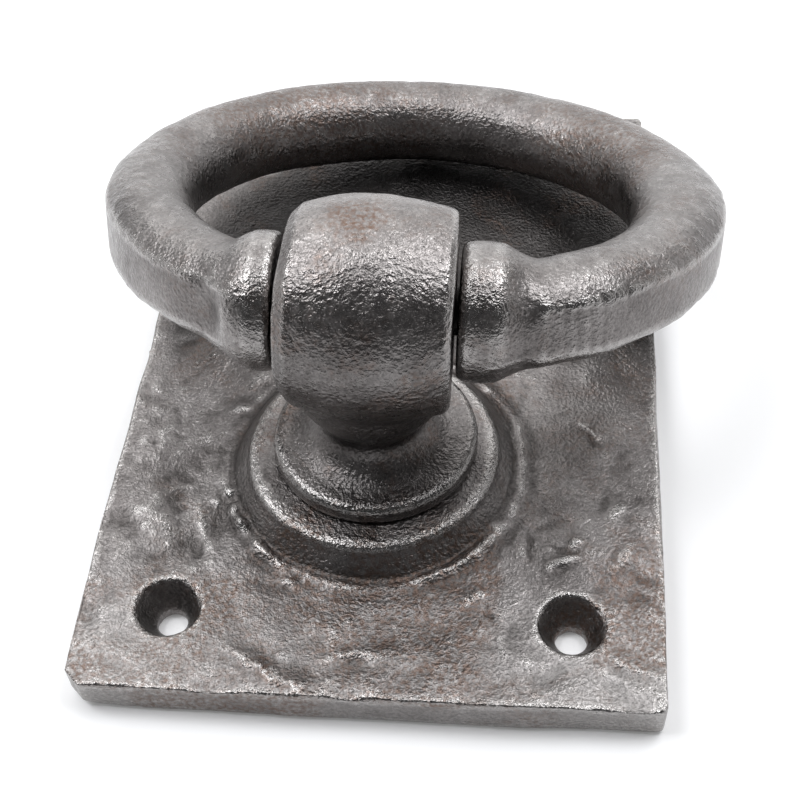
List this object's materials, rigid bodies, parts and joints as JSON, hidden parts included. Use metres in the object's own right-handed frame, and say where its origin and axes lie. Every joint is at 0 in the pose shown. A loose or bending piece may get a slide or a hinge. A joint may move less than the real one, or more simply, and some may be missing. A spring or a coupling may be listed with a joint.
{
  "type": "ring door knocker",
  "caption": "Cast iron door knocker: a heavy ring hinged on a post that stands on an oblong back plate with countersunk screw holes.",
  "frame": {"origin": "centre of the back plate's rear face, the face that lies against the door", "axes": "+Z out of the door, +Y along the plate towards the end where the ring hangs, +X across the plate; the hinge axis runs along X, sloping down 2.4 degrees towards +X"},
  "size_m": [0.1153, 0.1516, 0.068],
  "materials": {
    "plate_iron": "rough cast, waxed",
    "post_iron": "fine cast, waxed",
    "ring_iron": "fine cast, filed outer edge, waxed",
    "pin_steel": "turned, oiled",
    "bolt_steel": "plain",
    "washer_steel": "spring steel, plain"
  },
  "bodies": {
    "plate": {"back_plate": "plate_iron", "knuckle_post": "post_iron", "post_bolt": "bolt_steel", "spring_washer": "washer_steel"},
    "ring": {"knocker_ring": "ring_iron", "hinge_pin": "pin_steel"}
  },
  "joints": [
    {"name": "ring_hinge", "type": "hinge", "parent": "plate", "child": "ring", "pos_m": [-0.0002, -0.0258, 0.0492], "axis": [0.9991, 0, -0.0419], "range_deg": [0, 222]}
  ]
}
